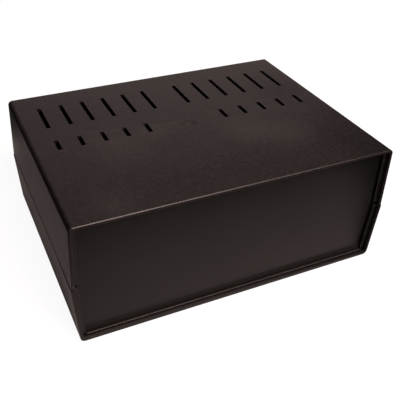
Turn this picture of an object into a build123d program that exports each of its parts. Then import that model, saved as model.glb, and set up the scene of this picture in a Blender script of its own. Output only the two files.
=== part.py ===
from build123d import *
import os

os.makedirs("parts", exist_ok=True)

# A vented two-shell instrument case, in millimetres.
# X runs across the case, the front faces -Y, and Z is up from the table under the feet.

# Outside of the two shells
case_width = 262.0  # across the top of the lower shell, where the case is widest
case_depth = 190.0  # front edge to rear edge of the shells
lower_height = 50.5  # underside to parting line
upper_height = 53.5  # parting line to flat top
lower_lean = 4.2  # how far each lower side leans in on its way down
upper_lean = 0.8  # how far each upper side leans in on its way up
parting_step = 0.4  # the upper shell is this much narrower on each side
parting_gap = 0.4  # between the shells' walls, whose posts alone meet
wall = 2.5
top_edge_radius = 3.6
bottom_edge_radius = 4.0
inner_corner_radius = 1.0
upper_rim_bevel = 0.5  # on the outer edges of the open ends
lower_rim_bevel = 0.2

# Channels that hold the front and rear panels
end_recess = 3.0  # shell edge to the outer rib
rib_thick = 2.0
outer_rib_side = 3.0  # how far the outer rib stands off the side walls
outer_rib_flat = 1.3  # how far it stands off the top and the bottom
inner_rib = 3.0
rib_bevel = 0.4  # on the crests of the outer ribs
upper_rib_gap = 2.0  # the upper ribs stop this far above the edge of their wall
lower_rib_gap = 0.2  # the lower ribs stop this far below theirs
panel_thick = 2.0
panel_outer_gap = 0.6
panel_inner_gap = 0.2
panel_edge_gap = 0.25
panel_corner_radius = 1.6

# Vent slots, the same in the top and the bottom
vent_width = 3.5
vent_first = 15.7  # case centre to the first slot
vent_pitch = 18.6
long_vents = 6
long_vent_length = 35.3
long_vent_edge = 24.0  # rear edge of the shell to the slots
short_vents = 5
short_vent_length = 14.5
vent_row_gap = 21.2  # bridge between the long and the short row

# Tongue on the lower shell and its rebate in the upper one
tongue_thick = 0.9
tongue_height = 2.0
tongue_gap = 0.15
rebate_reach = 1.0  # how far the cut for the rebate runs past the wall's inner face

# Screw posts in the four corners
post_inset_x = 19.0
post_inset_y = 16.4
upper_post_radius = 4.5
lower_post_radius = 6.0
post_web = 12.0  # plastic between the screw's head and the parting line
web_thick = 1.8
web_drop = 8.0  # the webs stop this far from the parting line

# Case screws
screw_radius = 1.75
screw_length = 25.0
screw_head_radius = 3.4
screw_head_height = 2.6
screw_head_bevel = 1.1
head_room = 0.7  # between the screw's head and the counterbore
screw_fit = 0.05  # between the screw and the hole that it threads into
screw_clearance = 0.2  # between the screw and the hole that it passes through
screw_end_room = 3.0  # hole left past the screw's tip
drive_slot_width = 1.0
drive_slot_length = 3.8
drive_slot_depth = 1.4

# Standoffs for a circuit board, in lines between two vent columns
board_column = 4.5
board_pitch_y = 60.0
board_rows = 3
standoff_radius = 3.5
standoff_height = 8.0
standoff_hole_radius = 1.25

# Stiffening ribs under the top and over the bottom
stiffener_thick = 1.8
stiffener_height = 4.0
stiffener_inset = 60.0  # front edge to the front stiffener

# Mark of the moulding gate in the top
gate_radius = 5.8
gate_depth = 0.12

# Feet, in line with the posts and between two vent columns
foot_column = 3.5
foot_radius = 6.5
foot_height = 3.2
foot_sink = 1.0
foot_fit = 0.15

# Heights and places that follow from them
underside_z = foot_height - foot_sink
parting_z = underside_z + lower_height
top_z = parting_z + upper_height
panel_groove = panel_outer_gap + panel_thick + panel_inner_gap
inner_rib_start = end_recess + rib_thick + panel_groove
tongue_length = case_depth - 2 * (inner_rib_start + rib_thick)
post_x = case_width / 2 - post_inset_x
post_y = case_depth / 2 - post_inset_y
foot_x = vent_first + foot_column * vent_pitch
board_x = vent_first + board_column * vent_pitch
seat_z = parting_z - post_web
long_row_y = case_depth / 2 - long_vent_edge - long_vent_length / 2
short_row_y = long_row_y - long_vent_length / 2 - vent_row_gap - short_vent_length / 2
bridge_y = long_row_y - long_vent_length / 2 - vent_row_gap / 2
front_stiffener_y = stiffener_inset - case_depth / 2

# Each shell is a tray, from its open side at base to its flat side at flat
upper = {
    "base": parting_z + parting_gap,
    "flat": top_z,
    "base_half": case_width / 2 - parting_step,
    "flat_half": case_width / 2 - parting_step - upper_lean,
    "radius": top_edge_radius,
    "rim_bevel": upper_rim_bevel,
    "rib_gap": upper_rib_gap,
}
lower = {
    "base": parting_z,
    "flat": underside_z,
    "base_half": case_width / 2,
    "flat_half": case_width / 2 - lower_lean,
    "radius": bottom_edge_radius,
    "rim_bevel": lower_rim_bevel,
    "rib_gap": lower_rib_gap,
}


def toward_flat(tray):
    return 1 if tray["flat"] > tray["base"] else -1


def half_width(tray, z):
    share = (z - tray["base"]) / (tray["flat"] - tray["base"])
    return tray["base_half"] + share * (tray["flat_half"] - tray["base_half"])


def tray_section(tray, plane, side_inset=0.0, flat_inset=0.0, base_inset=0.0):
    # The tray's section across the case, moved in from its outer faces
    base_z = tray["base"] + toward_flat(tray) * base_inset
    flat_z = tray["flat"] - toward_flat(tray) * flat_inset
    base_half = half_width(tray, base_z) - side_inset
    flat_half = half_width(tray, flat_z) - side_inset
    radius = max(tray["radius"] - side_inset, inner_corner_radius)
    with BuildSketch(plane) as section:
        with BuildLine():
            Polyline(
                (-base_half, base_z),
                (-flat_half, flat_z),
                (flat_half, flat_z),
                (base_half, base_z),
                close=True,
            )
        make_face()
        flat_corners = section.vertices().filter_by_position(Axis.Y, flat_z - 0.01, flat_z + 0.01)
        fillet(flat_corners, radius)
    return section.sketch


def cross_edges(shape, z):
    # The edges that run straight across the case at one height; bevels on them follow the corners
    return shape.edges().filter_by(Axis.X).filter_by_position(Axis.Z, z - 0.01, z + 0.01)


def panel_rib(tray, end, start, side, flat, bevel=0.0):
    # One rib round the inside of a tray
    plane = Plane.XZ.offset(end * (case_depth / 2 - start))
    crest_z = tray["flat"] - toward_flat(tray) * (wall + flat)
    with BuildPart() as rib:
        band = tray_section(tray, plane, wall / 2, wall / 2, tray["rib_gap"])
        extrude(band, amount=-end * rib_thick)
        opening = tray_section(tray, plane, wall + side, wall + flat)
        extrude(opening, amount=-end * rib_thick, mode=Mode.SUBTRACT)
        if bevel:
            chamfer(cross_edges(rib, crest_z), bevel)
    return rib.part


def tray_channel(tray):
    # The open channel of a shell, with its end edges bevelled
    with BuildPart() as channel:
        extrude(tray_section(tray, Plane.XZ), amount=case_depth / 2, both=True)
        chamfer(cross_edges(channel, tray["flat"]), tray["rim_bevel"])
        hollow = tray_section(tray, Plane.XZ, wall, wall)
        extrude(hollow, amount=case_depth / 2, both=True, mode=Mode.SUBTRACT)
    return channel.part


def add_tray(tray):
    # The channel, with two ribs at each end that leave a groove for a panel
    add(tray_channel(tray))
    for end in (1, -1):
        add(panel_rib(tray, end, end_recess, outer_rib_side, outer_rib_flat, rib_bevel))
        add(panel_rib(tray, end, inner_rib_start, inner_rib, inner_rib))


def add_stiffeners(tray):
    for y in (front_stiffener_y, bridge_y):
        plane = Plane.XZ.offset(-y)
        rib = tray_section(tray, plane, wall / 2, wall / 2)
        extrude(rib, amount=stiffener_thick / 2, both=True)
        opening = tray_section(tray, plane, wall, wall + stiffener_height)
        extrude(opening, amount=stiffener_thick / 2, both=True, mode=Mode.SUBTRACT)


def add_posts(tray, radius):
    # Four corner posts, each tied to its side wall by a web
    up = toward_flat(tray)
    reach = abs(tray["flat"] - parting_z) - wall / 2
    with BuildSketch(Plane.XY.offset(parting_z)) as posts:
        with GridLocations(2 * post_x, 2 * post_y, 2, 2):
            Circle(radius)
    extrude(posts.sketch, amount=up * reach)
    web_base = tray["base"] + up * web_drop
    web_flat = tray["flat"] - up * wall / 2
    for side in (-1, 1):
        for y in (-post_y, post_y):
            with BuildSketch(Plane.XZ.offset(-y)) as web:
                with BuildLine():
                    Polyline(
                        (side * post_x, web_base),
                        (side * (half_width(tray, web_base) - wall / 2), web_base),
                        (side * (half_width(tray, web_flat) - wall / 2), web_flat),
                        (side * post_x, web_flat),
                        close=True,
                    )
                make_face()
            extrude(web.sketch, amount=web_thick / 2, both=True)


def cut_vents(plane):
    # Two rows of slots on each side of the centre, the short ones from the second place on
    with BuildSketch(plane) as slots:
        for side in (-1, 1):
            for place in range(long_vents):
                with Locations((side * (vent_first + place * vent_pitch), long_row_y)):
                    Rectangle(vent_width, long_vent_length)
            for place in range(1, short_vents + 1):
                with Locations((side * (vent_first + place * vent_pitch), short_row_y)):
                    Rectangle(vent_width, short_vent_length)
    extrude(slots.sketch, amount=2 * wall, both=True, mode=Mode.SUBTRACT)


# Top shell
with BuildPart() as top_shell:
    add_tray(upper)
    add_stiffeners(upper)
    add_posts(upper, upper_post_radius)
    cut_vents(Plane.XY.offset(top_z))
    # Holes that the case screws thread into
    with BuildSketch(Plane.XY.offset(parting_z)):
        with GridLocations(2 * post_x, 2 * post_y, 2, 2):
            Circle(screw_radius + screw_fit)
    extrude(amount=screw_length - post_web + screw_end_room, mode=Mode.SUBTRACT)
    # Rebate over the lower shell's tongue
    rebate_width = tongue_thick + tongue_gap + parting_step + rebate_reach
    rebate_x = lower["base_half"] - wall + tongue_thick + tongue_gap - rebate_width / 2
    with BuildSketch(Plane.XY.offset(parting_z)):
        with GridLocations(2 * rebate_x, 0, 2, 1):
            Rectangle(rebate_width, tongue_length)
    extrude(amount=tongue_height + tongue_gap, mode=Mode.SUBTRACT)
    # Shallow round mark where the plastic entered the mould
    with BuildSketch(Plane.XY.offset(top_z)):
        Circle(gate_radius)
    extrude(amount=-gate_depth, mode=Mode.SUBTRACT)
top_shell.part.label = "top_shell"
export_step(top_shell.part, "parts/top_shell.step")


# Bottom shell
with BuildPart() as bottom_shell:
    add_tray(lower)
    add_stiffeners(lower)
    add_posts(lower, lower_post_radius)
    cut_vents(Plane.XY.offset(underside_z))
    # Tongue along both side walls
    tongue_x = lower["base_half"] - wall + tongue_thick / 2
    with BuildSketch(Plane.XY.offset(parting_z)):
        with GridLocations(2 * tongue_x, 0, 2, 1):
            Rectangle(tongue_thick, tongue_length - 2 * tongue_gap)
    extrude(amount=tongue_height)
    # Deep counterbores up the posts for the case screws
    underside = Plane(origin=(0, 0, underside_z), x_dir=(1, 0, 0), z_dir=(0, 0, -1))
    with Locations(underside):
        with GridLocations(2 * post_x, 2 * post_y, 2, 2):
            CounterBoreHole(
                radius=screw_radius + screw_clearance,
                counter_bore_radius=screw_head_radius + head_room,
                counter_bore_depth=lower_height - post_web,
                depth=lower_height,
            )
    # Round seats for the feet
    with BuildSketch(underside):
        with GridLocations(2 * foot_x, 2 * post_y, 2, 2):
            Circle(foot_radius + foot_fit)
    extrude(amount=-foot_sink, mode=Mode.SUBTRACT)
    # Standoffs with pilot holes for a circuit board
    with BuildSketch(Plane.XY.offset(underside_z + wall / 2)):
        with GridLocations(2 * board_x, board_pitch_y, 2, board_rows):
            Circle(standoff_radius)
    extrude(amount=standoff_height + wall / 2)
    with BuildSketch(Plane.XY.offset(underside_z + wall + standoff_height)):
        with GridLocations(2 * board_x, board_pitch_y, 2, board_rows):
            Circle(standoff_hole_radius)
    extrude(amount=-standoff_height, mode=Mode.SUBTRACT)
bottom_shell.part.label = "bottom_shell"
export_step(bottom_shell.part, "parts/bottom_shell.step")


# Front and rear panels, plain plates that slide into the grooves
panel_top = top_z - wall - panel_edge_gap
panel_bottom = underside_z + wall + panel_edge_gap
panel_inset = wall + panel_edge_gap
panel_side = case_width / 2 - parting_step - panel_inset
panel_start = end_recess + rib_thick + panel_outer_gap
for end, name in ((1, "front_panel"), (-1, "rear_panel")):
    with BuildPart() as panel:
        with BuildSketch(Plane.XZ.offset(end * (case_depth / 2 - panel_start))) as outline:
            with BuildLine():
                Polyline(
                    (-half_width(lower, panel_bottom) + panel_inset, panel_bottom),
                    (-panel_side, parting_z),
                    (-half_width(upper, panel_top) + panel_inset, panel_top),
                    (half_width(upper, panel_top) - panel_inset, panel_top),
                    (panel_side, parting_z),
                    (half_width(lower, panel_bottom) - panel_inset, panel_bottom),
                    close=True,
                )
            make_face()
            corners = outline.vertices().group_by(Axis.Y)
            fillet(corners[0] + corners[-1], panel_corner_radius)
        extrude(amount=-end * panel_thick)
    panel.part.label = name
    export_step(panel.part, f"parts/{name}.step")


corner_names = {
    (-1, -1): "front_left",
    (1, -1): "front_right",
    (-1, 1): "rear_left",
    (1, 1): "rear_right",
}

# Pan-head case screws, driven up from below
for (side, end), corner in corner_names.items():
    at = Plane(origin=(side * post_x, end * post_y, seat_z))
    with BuildPart(at) as screw:
        with BuildSketch(at.offset(-screw_head_height)):
            Circle(screw_head_radius)
        extrude(amount=screw_head_height)
        chamfer(screw.edges().group_by(Axis.Z)[0], screw_head_bevel)
        with BuildSketch(at):
            Circle(screw_radius)
        extrude(amount=screw_length)
        with BuildSketch(at.offset(-screw_head_height)):
            Rectangle(drive_slot_length, drive_slot_width)
            Rectangle(drive_slot_width, drive_slot_length)
        extrude(amount=drive_slot_depth, mode=Mode.SUBTRACT)
    screw.part.label = f"case_screw_{corner}"
    export_step(screw.part, f"parts/case_screw_{corner}.step")

# Round rubber feet in shallow seats
for (side, end), corner in corner_names.items():
    with BuildPart() as foot:
        with BuildSketch(Plane(origin=(side * foot_x, end * post_y, 0))):
            Circle(foot_radius)
        extrude(amount=foot_height)
    foot.part.label = f"foot_{corner}"
    export_step(foot.part, f"parts/foot_{corner}.step")
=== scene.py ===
import math

import bmesh
import bpy
from mathutils import Matrix, Vector


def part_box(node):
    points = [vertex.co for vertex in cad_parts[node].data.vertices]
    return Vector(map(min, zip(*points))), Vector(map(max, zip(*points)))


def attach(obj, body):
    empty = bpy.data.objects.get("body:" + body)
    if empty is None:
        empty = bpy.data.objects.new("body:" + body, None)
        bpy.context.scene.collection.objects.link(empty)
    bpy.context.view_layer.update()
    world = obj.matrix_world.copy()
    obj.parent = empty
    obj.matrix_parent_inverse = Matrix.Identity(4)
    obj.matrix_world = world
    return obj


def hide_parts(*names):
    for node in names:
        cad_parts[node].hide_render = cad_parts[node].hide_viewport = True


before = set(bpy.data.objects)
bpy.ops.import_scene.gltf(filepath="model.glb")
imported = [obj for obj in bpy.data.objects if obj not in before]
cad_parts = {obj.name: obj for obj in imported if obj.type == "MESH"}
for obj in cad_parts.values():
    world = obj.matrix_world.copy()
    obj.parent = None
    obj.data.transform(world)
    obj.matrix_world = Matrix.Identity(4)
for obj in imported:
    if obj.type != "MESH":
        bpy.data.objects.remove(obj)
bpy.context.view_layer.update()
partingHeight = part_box("top_shell")[0][2]
panelFace = -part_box("front_panel")[0][1]  # from the middle of the case to each panel's outer face
print("frame loaded with", len(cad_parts), "nodes")


# Camera at the photograph's place

photoCamera = {
    "azimuth": -24.39,  # degrees round the case, left of its front
    "elevation": 31.79,
    "roll": 1.38,
    "distance": 0.5150,
    "target": (-0.0166, 0.0, 0.0819),
    "lens": 55.77,
    "sensor": 36.0,
    "shift": (0.0723, -0.1171),
}


def awayFromCase(spec):
    # direction from the case, by degrees round it from its front and up from the table
    turn, rise = math.radians(spec["azimuth"]), math.radians(spec["elevation"])
    return Vector((math.sin(turn) * math.cos(rise), -math.cos(turn) * math.cos(rise), math.sin(rise)))


def aimCamera(spec):
    back = awayFromCase(spec)
    roll = math.radians(spec["roll"])
    side = Vector((0, 0, 1)).cross(back).normalized()
    up = back.cross(side)
    right = side * math.cos(roll) + up * math.sin(roll)
    top = up * math.cos(roll) - side * math.sin(roll)
    lensData = bpy.data.cameras.new("photoCamera")
    lensData.lens = spec["lens"]
    lensData.sensor_width = spec["sensor"]
    lensData.shift_x, lensData.shift_y = spec["shift"]
    camera = bpy.data.objects.new("photoCamera", lensData)
    place = Vector(spec["target"]) + back * spec["distance"]
    camera.matrix_world = Matrix.Translation(place) @ Matrix((right, top, back)).transposed().to_4x4()
    bpy.context.scene.collection.objects.link(camera)
    bpy.context.scene.camera = camera


aimCamera(photoCamera)
bpy.context.scene.view_settings.view_transform = "Standard"
print("camera placed")


# Node sockets that add and multiply like numbers

class Wire:
    def __init__(self, tree, socket=None):
        self.tree = tree
        self.socket = socket

    def node(self, kind, settings=None, inputs=None, output=0):
        made = self.tree.nodes.new(kind)
        for name, value in (settings or {}).items():
            if name == "stops":
                self.fillRamp(made.color_ramp, value)
            else:
                setattr(made, name, value)
        for key, value in (inputs or {}).items():
            for one in value if isinstance(value, list) else [value]:
                if isinstance(one, Wire):
                    self.tree.links.new(one.socket, made.inputs[key])
                else:
                    made.inputs[key].default_value = one
        return Wire(self.tree, made.outputs[output])

    def fillRamp(self, ramp, stops):
        while len(ramp.elements) > 1:
            ramp.elements.remove(ramp.elements[-1])
        ramp.elements[0].position = stops[0][0]
        elements = [ramp.elements[0]] + [ramp.elements.new(place) for place, shade in stops[1:]]
        for element, (place, shade) in zip(elements, stops):
            element.color = (shade, shade, shade, 1)

    def maths(self, operation, *values):
        return self.node("ShaderNodeMath", {"operation": operation}, dict(enumerate(values)))

    def ramp(self, *stops):
        return self.node("ShaderNodeValToRGB", {"stops": stops}, {0: self})

    def blend(self, low, high):
        return self.node("ShaderNodeMix", {"data_type": "RGBA"}, {0: self, 6: low, 7: high}, 2)

    def away(self, value, reach):
        # how far the number is from a value, as a share of a reach
        return self.maths("ABSOLUTE", self - value) * (1 / reach)

    def other(self, name):
        return Wire(self.tree, self.socket.node.outputs[name])

    def __add__(self, other):
        return self.maths("ADD", self, other)

    def __sub__(self, other):
        return self.maths("SUBTRACT", self, other)

    def __rsub__(self, other):
        return self.maths("SUBTRACT", other, self)

    def __mul__(self, other):
        return self.maths("MULTIPLY", self, other)

    def __truediv__(self, other):
        return self.maths("DIVIDE", self, other)

    __radd__ = __add__
    __rmul__ = __mul__


def newMaterial(name):
    material = bpy.data.materials.new(name)
    material.use_nodes = True
    tree = material.node_tree
    tree.nodes.clear()
    return material, Wire(tree)


def finishMaterial(wire, surface):
    outNode = wire.tree.nodes.new("ShaderNodeOutputMaterial")
    wire.tree.links.new(surface.socket, outNode.inputs["Surface"])


# Moulded plastics

shellPlastic = {
    "dark": (0.0009, 0.0008, 0.00075, 1),
    "light": (0.0017, 0.0015, 0.0014, 1),
    "pale": (0.013, 0.0118, 0.0113, 1),  # where the melt has left a bloom, and where light is painted: sheen, highlights and lit dust
    "specular": 0.175,
    "tint": (1.0, 0.96, 0.94, 1),
    "roughness": 0.37,
    "patchScale": 14.0,  # patches of uneven gloss, per metre
    "patchRoughness": 0.06,
    "grainScale": 1500.0,  # spark-eroded grain of the mould
    "grainRoughness": 0.08,
    "grainShare": 0.5,
    "pebbleScale": 620.0,
    "pebbleShare": 0.8,
    "grainDepth": 0.00004,
    "grainStrength": 0.35,
    "fleckScale": 420.0,
    "fleckShare": 0.32,
    # streaks of the melt across the row of short vents
    "flowLine": 0.007,
    "flowWidth": 0.022,
    "flowStretch": (26.0, 150.0, 20.0),
    "flowEdges": [(0.45, 0.0), (0.7, 1.0)],
    "flowShare": 0.38,
    # dents round the gate, with a painted highlight in its dish, and painted highlights at the parting
    # notches of the front ends: place, radius and how much rougher or paler
    "marks": [
        ((0.0038, 0.0, 0.106), 0.0034, 0.16, 0.0),
        ((-0.0062, 0.0, 0.106), 0.0015, 0.2, 0.0),
        # painted highlight in the gate's dish
        ((-0.0015, 0.0, 0.106), 0.0036, 0.0, 0.24),
        # painted highlights at the parting notches of the front ends, where light catches them
        ((-0.1288, -0.095, 0.0566), 0.0016, 0.0, 1.0),
        ((0.1236, -0.095, 0.0538), 0.0011, 0.0, 1.0),
    ],
    # and wide soft patches on the top: the paler ones are painted sheen, the rougher ones dull the gloss
    "clouds": [
        ((0.040, -0.024, 0.106), 0.028, 0.0, 0.5),
        ((0.068, -0.040, 0.106), 0.028, 0.0, 0.45),
        ((-0.066, -0.012, 0.106), 0.032, 0.0, 0.42),
        ((-0.033, -0.002, 0.106), 0.018, 0.0, 0.35),
        ((-0.095, -0.083, 0.106), 0.024, 0.0, 0.35),
        ((0.084, -0.092, 0.106), 0.026, 0.0, 0.25),
        ((-0.052, -0.074, 0.106), 0.034, 0.14, 0.0),
        ((-0.012, -0.074, 0.106), 0.036, 0.14, 0.0),
        ((0.025, -0.078, 0.106), 0.036, 0.14, 0.0),
        ((-0.100, 0.055, 0.106), 0.055, 0.05, 0.0),
        ((0.104, 0.030, 0.106), 0.040, 0.10, 0.0),
    ],
    "acrossScale": 3.0,  # per metre from left to right, about the middle
    # dust in the parting line of the long sides, with painted light that lifts the shade of its gap,
    # thinner on the right and towards the open ends
    "seamDustAndLight": (0.135, 0.117, 0.110, 1),
    "seamAbove": 0.0002,  # over the parting height
    "seamReach": 0.0007,
    "seamEdges": [(0.5, 1.0), (1.0, 0.0)],
    "seamBehind": 0.0009,  # it ends this far behind the panels' faces
    "seamAlong": [(0.711, 1.0), (1.0, 0.0)],
    "seamAcross": [(0.4, 1.0), (0.6, 0.2)],
    # a duller band of the upper wall over it
    "lipAbove": 0.0011,
    "lipReach": 0.0009,
    "lipEdges": [(0.6, 1.0), (1.0, 0.0)],
    "lipRougher": 0.32,
    # dust on the ledge before each panel's foot, with painted light that is paler on the left, and a
    # duller rib behind it
    "ledgeBefore": 0.0001,  # it starts this far before the panels' faces
    "ledgeReach": 0.0055,
    "ledgeEdges": [(0.6, 0.0), (0.7, 1.0), (0.95, 1.0), (1.0, 0.0)],
    "ledgeBelow": 0.0068,
    "ledgeHeights": [(0.76, 1.0), (0.84, 0.0)],
    "ledgeAcross": [(0.1, 1.0), (0.5, 0.8), (0.82, 0.25)],
    "ribEdges": [(0.45, 1.0), (0.5, 0.0)],
    "ribHeights": [(0.96, 1.0), (1.0, 0.0)],
    "ribRougher": 0.10,
}

panelPlastic = {
    "dark": (0.0012, 0.0012, 0.0010, 1),
    "light": (0.0018, 0.0018, 0.0015, 1),
    "pale": (0.0085, 0.0080, 0.0073, 1),
    "specular": 0.158,
    "tint": (1.0, 0.97, 0.94, 1),
    "roughness": 0.24,
    "patchScale": 22.0,
    "patchRoughness": 0.03,
    "grainScale": 2200.0,
    "grainRoughness": 0.02,
    "grainShare": 0.5,
    "pebbleScale": 900.0,
    "pebbleShare": 0.8,
    "grainDepth": 0.00002,
    "grainStrength": 0.12,
    "fleckScale": 420.0,
    "fleckShare": 0.05,
    "footPaintedLight": 0.0115,  # height up to which light is painted on a panel's foot, lifting the shade that the rib's reflection leaves there
    "footPaintedLightEdges": [(0.72, 1.0), (1.0, 0.0)],
    "footPaintedLightShare": 0.8,
}

fleckEdges = [(0.42, 0.0), (0.68, 1.0)]
patchEdges = [(0.35, 0.0), (0.65, 1.0)]
fadeOut = [(0.0, 1.0), (1.0, 0.0)]


def meltStreaks(place, along, spec):
    stretched = place.node("ShaderNodeVectorMath", {"operation": "MULTIPLY"}, {
        0: place, 1: spec["flowStretch"],
    })
    streaks = place.node("ShaderNodeTexNoise", {}, {"Vector": stretched, "Scale": 1.0, "Detail": 3.0})
    near = along.away(spec["flowLine"], spec["flowWidth"]).ramp(*fadeOut)
    return streaks.ramp(*spec["flowEdges"]) * near * spec["flowShare"]


def dustAndPaintedLight(across, spec):
    # how much paler the parting line and the ledges are, as dust with painted light, and how much duller
    # the lip and the ribs
    along = across.maths("ABSOLUTE", across.other("Y"))
    height = across.other("Z")
    over = height - partingHeight
    side = across * spec["acrossScale"] + 0.5
    onSides = (along * (1 / (panelFace - spec["seamBehind"]))).ramp(*spec["seamAlong"])
    seam = over.away(spec["seamAbove"], spec["seamReach"]).ramp(*spec["seamEdges"])
    lip = over.away(spec["lipAbove"], spec["lipReach"]).ramp(*spec["lipEdges"])
    ledge = (along - (panelFace + spec["ledgeBefore"])) * (1 / spec["ledgeReach"])
    low = height * (1 / spec["ledgeBelow"])
    ledgeDustAndLight = ledge.ramp(*spec["ledgeEdges"]) * low.ramp(*spec["ledgeHeights"])
    rib = ledge.ramp(*spec["ribEdges"]) * low.ramp(*spec["ribHeights"])
    duller = rib * spec["ribRougher"] + lip * onSides * spec["lipRougher"]
    # dust and painted light in the shaded parting gap
    inSeamDustAndLight = seam * onSides * side.ramp(*spec["seamAcross"])
    # dust with painted light, paler on the left where the light falls
    onLedgeDustAndLight = ledgeDustAndLight * side.ramp(*spec["ledgeAcross"])
    return inSeamDustAndLight, onLedgeDustAndLight, duller


def marksAndClouds(place, spec):
    # how much rougher and how much paler they make the surface
    rougher, paler = 0.0, 0.0
    for kind, core in (("marks", 0.55), ("clouds", 0.0)):
        for centre, radius, roughened, paled in spec.get(kind, []):
            span = {0: place, 1: centre}
            gap = place.node("ShaderNodeVectorMath", {"operation": "DISTANCE"}, span, "Value")
            inside = (gap * (1 / radius)).ramp((core, 1.0), (1.0, 0.0))
            if roughened:
                rougher = inside * roughened + rougher
            if paled:
                paler = inside * paled + paler
    return rougher, paler


def mouldedPlastic(name, spec):
    material, wire = newMaterial(name)
    place = wire.node("ShaderNodeTexCoord", output="Object")
    across = place.node("ShaderNodeSeparateXYZ", {}, {0: place}, "X")
    patches = place.node("ShaderNodeTexNoise", {}, {
        "Vector": place, "Scale": spec["patchScale"], "Detail": 3.0, "Roughness": 0.5,
    })
    grain = place.node("ShaderNodeTexNoise", {}, {
        "Vector": place, "Scale": spec["grainScale"], "Detail": 2.0, "Roughness": 0.6,
    })
    pebbles = place.node("ShaderNodeTexVoronoi", {"feature": "SMOOTH_F1"}, {
        "Vector": place, "Scale": spec["pebbleScale"], "Smoothness": 0.6,
    })
    bump = wire.node("ShaderNodeBump", {}, {
        "Strength": spec["grainStrength"],
        "Distance": spec["grainDepth"],
        "Height": grain * spec["grainShare"] + pebbles * spec["pebbleShare"],
    })
    flecks = place.node("ShaderNodeTexNoise", {}, {
        "Vector": place, "Scale": spec["fleckScale"], "Detail": 2.0,
    })
    rougher, paler = marksAndClouds(place, spec)
    bloomAndPaintedLight = flecks.ramp(*fleckEdges) * spec["fleckShare"] + paler
    if "footPaintedLight" in spec:
        height = across.other("Z") * (1 / spec["footPaintedLight"])
        # painted light on the panel's foot, paler towards the bottom
        bloomAndPaintedLight = bloomAndPaintedLight + height.ramp(*spec["footPaintedLightEdges"]) * spec["footPaintedLightShare"]
    if "seamDustAndLight" in spec:
        inSeamDustAndLight, onLedgeDustAndLight, duller = dustAndPaintedLight(across, spec)
        bloomAndPaintedLight = bloomAndPaintedLight + meltStreaks(place, across.other("Y"), spec) + onLedgeDustAndLight
        rougher = rougher + duller
    # the pale share holds melt blooms, flecks, dust and painted light
    shade = bloomAndPaintedLight.blend(patches.ramp(*patchEdges).blend(spec["dark"], spec["light"]), spec["pale"])
    if "seamDustAndLight" in spec:
        # painted light and dust over the parting gap
        shade = inSeamDustAndLight.blend(shade, spec["seamDustAndLight"])
    roughness = (patches - 0.5) * spec["patchRoughness"] + (grain - 0.5) * spec["grainRoughness"]
    surface = wire.node("ShaderNodeBsdfPrincipled", {}, {
        "Base Color": shade,
        "Roughness": roughness + spec["roughness"] + rougher,
        "Specular IOR Level": spec["specular"],
        "Specular Tint": spec["tint"],
        "Normal": bump,
    })
    finishMaterial(wire, surface)
    return material


screwSteel = {
    "dark": (0.42, 0.42, 0.43, 1),
    "light": (0.58, 0.58, 0.58, 1),
    "roughness": 0.3,
    "roughnessSpread": 0.2,
    "scratchScale": 900.0,
}


def platedSteel(name, spec):
    material, wire = newMaterial(name)
    place = wire.node("ShaderNodeTexCoord", output="Object")
    cloud = place.node("ShaderNodeTexNoise", {}, {
        "Vector": place, "Scale": spec["scratchScale"], "Detail": 4.0,
    })
    surface = wire.node("ShaderNodeBsdfPrincipled", {}, {
        "Base Color": cloud.blend(spec["dark"], spec["light"]),
        "Metallic": 1.0,
        "Roughness": cloud * spec["roughnessSpread"] + spec["roughness"],
    })
    finishMaterial(wire, surface)
    return material


footRubber = {
    "dark": (0.016, 0.016, 0.017, 1),
    "light": (0.028, 0.028, 0.029, 1),
    "roughness": 0.72,
    "roughnessSpread": 0.12,
    "specular": 0.35,
    "grainScale": 2600.0,
    "grainDepth": 0.00005,
    "grainStrength": 0.3,
}


def mattRubber(name, spec):
    material, wire = newMaterial(name)
    place = wire.node("ShaderNodeTexCoord", output="Object")
    grain = place.node("ShaderNodeTexNoise", {}, {
        "Vector": place, "Scale": spec["grainScale"], "Detail": 3.0,
    })
    bump = wire.node("ShaderNodeBump", {}, {
        "Strength": spec["grainStrength"], "Distance": spec["grainDepth"], "Height": grain,
    })
    surface = wire.node("ShaderNodeBsdfPrincipled", {}, {
        "Base Color": grain.blend(spec["dark"], spec["light"]),
        "Roughness": grain * spec["roughnessSpread"] + spec["roughness"],
        "Specular IOR Level": spec["specular"],
        "Normal": bump,
    })
    finishMaterial(wire, surface)
    return material


finishes = {
    "shell": mouldedPlastic("shellPlastic", shellPlastic),
    "panel": mouldedPlastic("panelPlastic", panelPlastic),
    "screw": platedSteel("screwSteel", screwSteel),
    "foot": mattRubber("footRubber", footRubber),
}
for nodeName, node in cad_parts.items():
    node.data.materials.clear()
    node.data.materials.append(next(finishes[key] for key in finishes if key in nodeName))
print("finishes made")


def meshObject(name, mesh):
    made = bpy.data.objects.new(name, mesh)
    bpy.context.scene.collection.objects.link(made)
    return made


# Shells, as copies of the solids with softened edges

shellEdges = {
    "width": {"topShell": 0.00025, "bottomShell": 0.00012},
    "segments": 3,
    "sharpest": 60.0,  # degrees an edge turns through before it is softened
    "smoothBelow": 40.0,
    "broad": 0.0006,  # area over perimeter, from which a face is shaded flat
    "recess": 0.0055,  # depth at each end where the edges inside the shell show
    "mergeWithin": 0.000002,
    "flatWithin": 0.3,
}


def nearOpenEnd(edge, low, high, spec):
    for end in (low.y, high.y):
        if all(abs(vertex.co.y - end) < spec["recess"] for vertex in edge.verts):
            return True
    return False


def plainMesh(made):
    # the modifiers' result in place of the mesh that they worked on
    graph = bpy.context.evaluated_depsgraph_get()
    plain = bpy.data.meshes.new_from_object(made.evaluated_get(graph))
    made.modifiers.clear()
    made.data = plain
    plain.name = made.name


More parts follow.
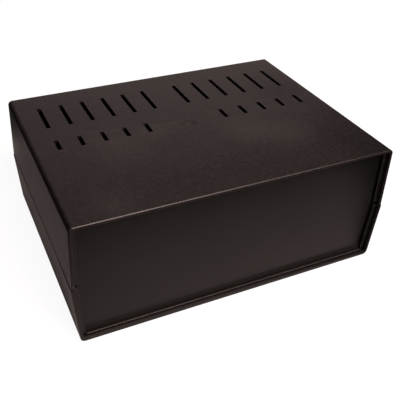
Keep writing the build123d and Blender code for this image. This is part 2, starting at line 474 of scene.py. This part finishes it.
def shadeFlats(mesh, spec):
    # smooth over curves, yet broad faces stay flat up to their edges
    work = bmesh.new()
    work.from_mesh(mesh)
    for face in work.faces:
        face.smooth = True
    for edge in work.edges:
        turned = math.degrees(edge.calc_face_angle(0))
        broad = any(face.calc_area() / face.calc_perimeter() > spec["broad"] for face in edge.link_faces)
        edge.smooth = turned < spec["flatWithin"] or (turned < spec["smoothBelow"] and not broad)
    work.to_mesh(mesh)
    work.free()


def softShell(name, nodeName, spec):
    low, high = [Vector(corner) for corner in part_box(nodeName)]
    work = bmesh.new()
    work.from_mesh(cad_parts[nodeName].data)
    bmesh.ops.remove_doubles(work, verts=work.verts, dist=spec["mergeWithin"])
    flat = math.radians(spec["flatWithin"])
    bmesh.ops.dissolve_limit(work, angle_limit=flat, verts=work.verts, edges=work.edges)
    weights = work.edges.layers.float.new("bevel_weight_edge")
    softened = 0
    for edge in work.edges:
        turned = math.degrees(edge.calc_face_angle_signed(0))
        if turned > spec["sharpest"] and nearOpenEnd(edge, low, high, spec):
            edge[weights] = 1.0
            softened += 1
    mesh = bpy.data.meshes.new(name)
    work.to_mesh(mesh)
    work.free()
    mesh.materials.append(finishes["shell"])
    shell = meshObject(name, mesh)
    bevel = shell.modifiers.new("softEdges", "BEVEL")
    bevel.limit_method = "WEIGHT"
    bevel.width = spec["width"][name]
    bevel.segments = spec["segments"]
    bevel.use_clamp_overlap = False
    bevel.loop_slide = False
    plainMesh(shell)
    shadeFlats(shell.data, spec)
    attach(shell, "root")
    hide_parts(nodeName)
    print(name, "made with", softened, "softened edges")


softShell("topShell", "top_shell", shellEdges)
softShell("bottomShell", "bottom_shell", shellEdges)


# Lathe for round pieces, from a profile of (radius, height) points

latheMerge = 0.000001
edgeBreak = 0.0001  # on edges that only a touch would find


def lathe(name, profile, steps):
    work = bmesh.new()
    points = [work.verts.new((radius, 0, height)) for radius, height in profile]
    edges = [work.edges.new(pair) for pair in zip(points, points[1:])]
    bmesh.ops.spin(work, geom=points + edges, cent=(0, 0, 0), axis=(0, 0, 1), angle=math.tau, steps=steps)
    bmesh.ops.remove_doubles(work, verts=work.verts, dist=latheMerge)
    bmesh.ops.recalc_face_normals(work, faces=work.faces)
    mesh = bpy.data.meshes.new(name)
    work.to_mesh(mesh)
    work.free()
    return mesh


def roundedCorner(radius, height, rounding, start, steps=5):
    # an arc about (radius, height), from start degrees over a quarter turn
    turns = [math.radians(start + 90 * step / steps) for step in range(steps + 1)]
    return [(radius + rounding * math.cos(turn), height + rounding * math.sin(turn)) for turn in turns]


# Geometry trees that set one piece at each corner of the case

def newTree(name, labels):
    tree = bpy.data.node_groups.new(name, "GeometryNodeTree")
    tree.interface.new_socket("Geometry", in_out="INPUT", socket_type="NodeSocketGeometry")
    tree.interface.new_socket("Geometry", in_out="OUTPUT", socket_type="NodeSocketGeometry")
    for label in labels:
        tree.interface.new_socket(label, in_out="INPUT", socket_type="NodeSocketFloat")
    return Wire(tree, tree.nodes.new("NodeGroupInput").outputs["Geometry"])


def atCorners(entry, shape, material, seed):
    # four copies, each turned its own way
    corners = entry.node("GeometryNodeMeshGrid", {}, {
        "Size X": entry.other("Spacing X"),
        "Size Y": entry.other("Spacing Y"),
        "Vertices X": 2,
        "Vertices Y": 2,
    })
    turn = entry.node("FunctionNodeRandomValue", {"data_type": "FLOAT"}, {"Seed": seed}, 1)
    turned = entry.node("ShaderNodeCombineXYZ", {}, {"Z": turn * math.tau})
    placed = entry.node("GeometryNodeInstanceOnPoints", {}, {
        "Points": corners, "Instance": shape, "Rotation": turned,
    })
    lifted = entry.node("GeometryNodeSetPosition", {}, {
        "Geometry": entry.node("GeometryNodeRealizeInstances", {}, {"Geometry": placed}),
        "Offset": entry.node("ShaderNodeCombineXYZ", {}, {"Z": entry.other("Height")}),
    })
    dressed = entry.node("GeometryNodeSetMaterial", {}, {"Geometry": lifted, "Material": material})
    leave = entry.tree.nodes.new("NodeGroupOutput")
    entry.tree.links.new(dressed.socket, leave.inputs["Geometry"])


def growPiece(name, mesh, entry, sizes, smoothBelow):
    grown = meshObject(name, mesh)
    modifier = grown.modifiers.new("grow", "NODES")
    modifier.node_group = entry.tree
    for item in entry.tree.interface.items_tree:
        if item.in_out == "INPUT" and item.name in sizes:
            modifier[item.identifier] = sizes[item.name]
    plainMesh(grown)
    grown.data.shade_smooth()
    grown.data.set_sharp_from_angle(angle=math.radians(smoothBelow))
    return grown


def cornerBoxes(prefix):
    # spacing of the four corner nodes and the box of one of them
    low, high = [Vector(corner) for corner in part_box(prefix + "_rear_right")]
    middle = (low + high) / 2
    return {"Spacing X": 2 * middle.x, "Spacing Y": 2 * middle.y}, low, high


def standAt(grown, prefix):
    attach(grown, "root")
    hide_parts(*[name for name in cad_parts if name.startswith(prefix)])
    print(grown.name, "made with", len(grown.data.polygons), "faces")


# Case screws with a cross recess and a rolled thread

caseScrew = {
    "headRadius": 0.0034,
    "headRounding": 0.0011,
    "headSide": 0.0009,
    "headCrown": 0.0006,
    "crownFlat": 0.6,  # share of the crown that is flat
    "crownDrop": 0.0002,
    "coreRadius": 0.00134,
    "neckRadius": 0.00165,
    "neckLength": 0.0022,
    "neckTaper": 0.0003,
    "tipLength": 0.0024,
    "tipRadius": 0.0006,
    "tipShare": 0.6,  # share of the tip that the thread leaves bare
    "threadPitch": 0.0013,
    "threadDepth": 0.0004,
    "threadGap": 0.0006,
    "threadFade": (20, 12, 0.1),  # how fast it rises and runs out, and what it starts from
    "threadSteps": 24,
    "threadSides": 4,
    "recessLength": 0.0038,
    "recessWidth": 0.0010,
    "recessDepth": 0.0014,
    "latheSteps": 40,
    "smoothBelow": 35,  # degrees
    "seed": 4,
}


def screwProfile(spec, headHeight, length):
    # round the head and up the neck and the core to the tip
    head, rounding = spec["headRadius"], spec["headRounding"]
    crown = head - rounding
    profile = [(0, -headHeight), (crown * spec["crownFlat"], -headHeight)]
    profile += roundedCorner(crown, rounding - headHeight + spec["crownDrop"], rounding, -90)
    profile += [
        (head, -edgeBreak),
        (head - edgeBreak, 0),
        (spec["neckRadius"], 0),
        (spec["neckRadius"], spec["neckLength"]),
        (spec["coreRadius"], spec["neckLength"] + spec["neckTaper"]),
        (spec["coreRadius"], length - spec["tipLength"]),
        (spec["tipRadius"], length - edgeBreak),
        (0, length),
    ]
    return profile


def crossRecess(entry):
    # the body less two bars that cross in its head
    bars = []
    for sides in (("Recess length", "Recess width"), ("Recess width", "Recess length")):
        size = entry.node("ShaderNodeCombineXYZ", {}, {
            "X": entry.other(sides[0]), "Y": entry.other(sides[1]), "Z": entry.other("Recess depth") * 2,
        })
        bar = entry.node("GeometryNodeMeshCube", {}, {"Size": size})
        drop = entry.node("ShaderNodeCombineXYZ", {}, {"Z": entry.other("Head height") * -1})
        bars.append(entry.node("GeometryNodeTransform", {}, {"Geometry": bar, "Translation": drop}))
    return entry.node("GeometryNodeMeshBoolean", {"operation": "DIFFERENCE", "solver": "EXACT"}, {
        "Mesh 1": entry, "Mesh 2": bars,
    })


def rolledThread(entry, spec):
    # a ridge swept along a helix, which rises at the neck and runs out at the tip
    helix = entry.node("GeometryNodeCurveSpiral", {}, {
        "Resolution": spec["threadSteps"],
        "Rotations": entry.other("Thread length") / entry.other("Thread pitch"),
        "Start Radius": entry.other("Thread radius"),
        "End Radius": entry.other("Thread radius"),
        "Height": entry.other("Thread length"),
    })
    along = entry.node("GeometryNodeSplineParameter", output="Factor")
    rise, runOut, faintest = spec["threadFade"]
    ends = entry.maths("MINIMUM", along * rise + faintest, (1 - along) * runOut + faintest)
    fade = entry.maths("MINIMUM", ends, 1.0)
    tapered = entry.node("GeometryNodeSetCurveRadius", {}, {"Curve": helix, "Radius": fade})
    upright = entry.node("GeometryNodeSetCurveNormal", {"mode": "Z_UP"}, {"Curve": tapered})
    ridge = entry.node("GeometryNodeCurvePrimitiveCircle", {}, {
        "Resolution": spec["threadSides"], "Radius": entry.other("Thread depth"),
    })
    swept = entry.node("GeometryNodeCurveToMesh", {}, {
        "Curve": upright, "Profile Curve": ridge, "Fill Caps": True,
    })
    start = entry.node("ShaderNodeCombineXYZ", {}, {"Z": entry.other("Thread start")})
    return entry.node("GeometryNodeTransform", {}, {"Geometry": swept, "Translation": start})


def makeScrews(spec):
    spacing, low, high = cornerBoxes("case_screw")
    headHeight = spec["headSide"] + spec["headRounding"] + spec["headCrown"]
    length = high.z - low.z - headHeight
    threadStart = spec["neckLength"] + spec["threadGap"]
    sizes = {
        **spacing,
        "Height": low.z + headHeight,
        "Head height": headHeight,
        "Thread pitch": spec["threadPitch"],
        "Thread radius": spec["coreRadius"],
        "Thread depth": spec["threadDepth"],
        "Thread start": threadStart,
        "Thread length": length - threadStart - spec["tipLength"] * spec["tipShare"],
        "Recess length": spec["recessLength"],
        "Recess width": spec["recessWidth"],
        "Recess depth": spec["recessDepth"],
    }
    entry = newTree("screwTree", sizes)
    whole = entry.node("GeometryNodeJoinGeometry", {}, {
        "Geometry": [crossRecess(entry), rolledThread(entry, spec)],
    })
    atCorners(entry, whole, finishes["screw"], spec["seed"])
    body = lathe("screwBody", screwProfile(spec, headHeight, length), spec["latheSteps"])
    screws = growPiece("caseScrews", body, entry, sizes, spec["smoothBelow"])
    standAt(screws, "case_screw")


# Rubber feet, round at the edge that meets the table

rubberFoot = {
    "rounding": 0.0010,
    "draft": 0.0003,  # narrower by this much at the table
    "latheSteps": 56,
    "smoothBelow": 40,
    "seed": 2,
}


def makeFeet(spec):
    spacing, low, high = cornerBoxes("foot")
    radius = (high.x - low.x) / 2
    height = high.z - low.z
    corner = radius - spec["draft"] - spec["rounding"]
    profile = [(0, 0)] + roundedCorner(corner, spec["rounding"], spec["rounding"], -90)
    profile += [(radius - edgeBreak, height - edgeBreak), (radius - 2 * edgeBreak, height), (0, height)]
    sizes = {**spacing, "Height": low.z}
    entry = newTree("footTree", sizes)
    atCorners(entry, entry, finishes["foot"], spec["seed"])
    body = lathe("footBody", profile, spec["latheSteps"])
    feet = growPiece("rubberFeet", body, entry, sizes, spec["smoothBelow"])
    standAt(feet, "foot")


makeScrews(caseScrew)
makeFeet(rubberFoot)


# Floor, studio wall and lamps

studio = {
    "floorSize": 8.0,
    "floorDrop": 0.0002,  # under the feet
    "floorPale": (0.6, 0.6, 0.6, 1),
    "floorGlow": 0.93,  # what the camera sees besides the lit share
    "floorShare": 0.10,
    "warmLight": (1.0, 0.775, 0.735, 1),
    "glossReach": 0.5,
    # light and shade painted on the floor, which only gloss sees: how pale it is by metres to the right
    # and to the front
    "glossAcross": [
        (-0.5, 0.04), (-0.22, 0.06), (-0.195, 0.12), (-0.175, 0.42), (-0.155, 0.46), (-0.145, 0.62),
        (-0.135, 1.0), (-0.129, 0.8), (-0.12, 0.76), (-0.09, 0.84), (-0.03, 0.86), (0.05, 0.79),
        (0.12, 0.68), (0.155, 0.68), (0.19, 0.64), (0.205, 0.5), (0.22, 0.2), (0.5, 0.12),
    ],
    "glossAhead": [
        (-0.5, 0.15), (-0.25, 0.2), (-0.225, 0.45), (-0.2, 1.0), (-0.18, 1.0), (-0.15, 0.88),
        (-0.03, 1.0), (0.02, 0.86), (0.08, 0.86), (0.11, 0.77), (0.15, 0.64), (0.19, 0.49),
        (0.2, 0.43), (0.213, 0.27), (0.25, 0.15), (0.5, 0.1),
    ],
    # and painted shade across an edge that slants before the panel, by metres to the right less those
    # before its face
    "glossSlant": [
        (-0.5, 1.0), (0.105, 1.0), (0.114, 0.8), (0.119, 0.4), (0.124, 0.08), (0.132, 0.03), (0.5, 0.02),
    ],
    # light for the sides away from the photograph, on the floor behind the case and to its right
    "fill": 1.2,
    "fillBehind": [(-0.5, 1.0), (-0.14, 1.0), (-0.10, 0.0)],
    "fillAcross": [(-0.13, 0.0), (-0.09, 1.0)],
    "fillBeside": [(0.28, 0.0), (0.34, 1.0)],
    "ambient": 0.3,
    "wallRadius": 1.5,
    "wallHeight": 1.7,
    "wallSteps": 48,
    # brightness once round the room, in degrees clockwise from straight behind
    "wallLight": [
        (-180, 0.04), (-70, 0.02), (-34, 0.025), (-12, 0.36), (6, 0.9), (14, 1.0), (34, 0.95),
        (37, 0.98), (41, 1.0), (43.5, 0.5), (47, 0.2), (54, 0.06), (180, 0.04),
    ],
    "wallRise": [(0.0, 0.88), (0.85, 0.87), (1.0, 0.83), (1.4, 0.76)],  # and by metres up the wall
}


def paleFloor(spec):
    material, wire = newMaterial("paleFloor")
    seen = wire.node("ShaderNodeLightPath", output="Is Camera Ray")
    glossy = seen.other("Is Glossy Ray")
    glow = wire.node("ShaderNodeEmission", {}, {"Color": (1, 1, 1, 1), "Strength": spec["floorGlow"]})
    shade = wire.node("ShaderNodeBsdfDiffuse", {}, {"Color": (spec["floorShare"],) * 3 + (1,)})
    shown = wire.node("ShaderNodeAddShader", {}, {0: glow, 1: shade})
    place = wire.node("ShaderNodeTexCoord", output="Object")
    across = place.node("ShaderNodeSeparateXYZ", {}, {0: place}, "X")
    scale = 0.5 / spec["glossReach"]

    def levels(metres, key):
        return (metres * scale + 0.5).ramp(*[(0.5 + far * scale, level) for far, level in spec[key]])

    ahead = across.other("Y") * -1
    slant = across - across.maths("MAXIMUM", ahead - panelFace, 0.0)
    # painted light and shade on the floor, for gloss alone
    paintedFloorLight = levels(across, "glossAcross") * levels(ahead, "glossAhead") * levels(slant, "glossSlant")
    pale = paintedFloorLight.blend((0, 0, 0, 1), (1, 1, 1, 1))
    behind = levels(ahead, "fillBehind") * levels(across, "fillAcross")
    fill = across.maths("MAXIMUM", behind, levels(across, "fillBeside")) * spec["fill"]
    mirrored = wire.node("ShaderNodeAddShader", {}, {
        0: wire.node("ShaderNodeBsdfDiffuse", {}, {"Color": pale}),
        1: wire.node("ShaderNodeEmission", {}, {"Color": spec["warmLight"], "Strength": fill}),
    })
    plain = wire.node("ShaderNodeBsdfDiffuse", {}, {"Color": spec["floorPale"]})
    unseen = wire.node("ShaderNodeMixShader", {}, {0: glossy, 1: plain, 2: mirrored})
    finishMaterial(wire, wire.node("ShaderNodeMixShader", {}, {0: seen, 1: unseen, 2: shown}))
    return material


def makeFloor(spec):
    half = spec["floorSize"] / 2
    mesh = bpy.data.meshes.new("floor")
    signs = [(-1, -1), (1, -1), (1, 1), (-1, 1)]
    corners = [(right * half, back * half, -spec["floorDrop"]) for right, back in signs]
    mesh.from_pydata(corners, [], [(0, 1, 2, 3)])
    mesh.materials.append(paleFloor(spec))
    meshObject("floor", mesh)


def greyWall(spec):
    material, wire = newMaterial("greyWall")
    place = wire.node("ShaderNodeTexCoord", output="Object")
    across = place.node("ShaderNodeSeparateXYZ", {}, {0: place}, "X")
    turn = across.maths("ARCTAN2", across, across.other("Y"))  # radians from straight behind, clockwise
    share = turn * (1 / math.tau) + 0.5
    around = share.ramp(*[(angle / 360 + 0.5, level) for angle, level in spec["wallLight"]])
    rise = across.other("Z") * (1 / spec["wallHeight"])
    upward = rise.ramp(*[(height / spec["wallHeight"], level) for height, level in spec["wallRise"]])
    finishMaterial(wire, wire.node("ShaderNodeEmission", {}, {
        "Color": spec["warmLight"], "Strength": around * upward,
    }))
    return material


def makeWall(spec):
    # round the case, seen by gloss alone
    mesh = bpy.data.meshes.new("studioWall")
    points, faces = [], []
    for step in range(spec["wallSteps"] + 1):
        angle = math.tau * step / spec["wallSteps"]
        x, y = spec["wallRadius"] * math.sin(angle), spec["wallRadius"] * math.cos(angle)
        points += [(x, y, 0.0), (x, y, spec["wallHeight"])]
        if step:
            faces.append((2 * step - 2, 2 * step - 1, 2 * step + 1, 2 * step))
    mesh.from_pydata(points, [], faces)
    mesh.materials.append(greyWall(spec))
    wall = meshObject("studioWall", mesh)
    wall.visible_camera = False
    wall.visible_diffuse = False
    wall.visible_shadow = False


def makeWorld(spec):
    world = bpy.data.worlds.new("paleRoom")
    bpy.context.scene.world = world
    world.use_nodes = True
    world.node_tree.nodes.clear()
    wire = Wire(world.node_tree)
    path = wire.node("ShaderNodeLightPath", output="Is Camera Ray")
    seen = path.maths("MAXIMUM", path, path.other("Is Glossy Ray"))
    seen = path.maths("MAXIMUM", seen, path.other("Is Transmission Ray"))
    strength = seen * (1 - spec["ambient"]) + spec["ambient"]
    color = path.blend(spec["warmLight"], (1, 1, 1, 1))
    sky = wire.node("ShaderNodeBackground", {}, {"Color": color, "Strength": strength})
    outNode = world.node_tree.nodes.new("ShaderNodeOutputWorld")
    world.node_tree.links.new(sky.socket, outNode.inputs["Surface"])


lamps = {
    "keyLamp": {
        "azimuth": 17.0,
        "elevation": 48.0,
        "distance": 1.2,
        "aim": (0.0, 0.0, 0.05),
        "width": 0.76,
        "height": 0.46,
        "power": 34.0,
        "color": (1.0, 0.79, 0.75),
    },
}


def makeLamp(name, spec):
    lampData = bpy.data.lights.new(name, "AREA")
    lampData.shape = "RECTANGLE"
    lampData.size = spec["width"]
    lampData.size_y = spec["height"]
    lampData.energy = spec["power"]
    lampData.color = spec["color"]
    lamp = bpy.data.objects.new(name, lampData)
    away = awayFromCase(spec)
    lamp.location = Vector(spec["aim"]) + away * spec["distance"]
    lamp.rotation_euler = away.to_track_quat("Z", "Y").to_euler()
    bpy.context.scene.collection.objects.link(lamp)


makeFloor(studio)
makeWall(studio)
makeWorld(studio)
for lampName, lampSpec in lamps.items():
    makeLamp(lampName, lampSpec)
print("studio lit")
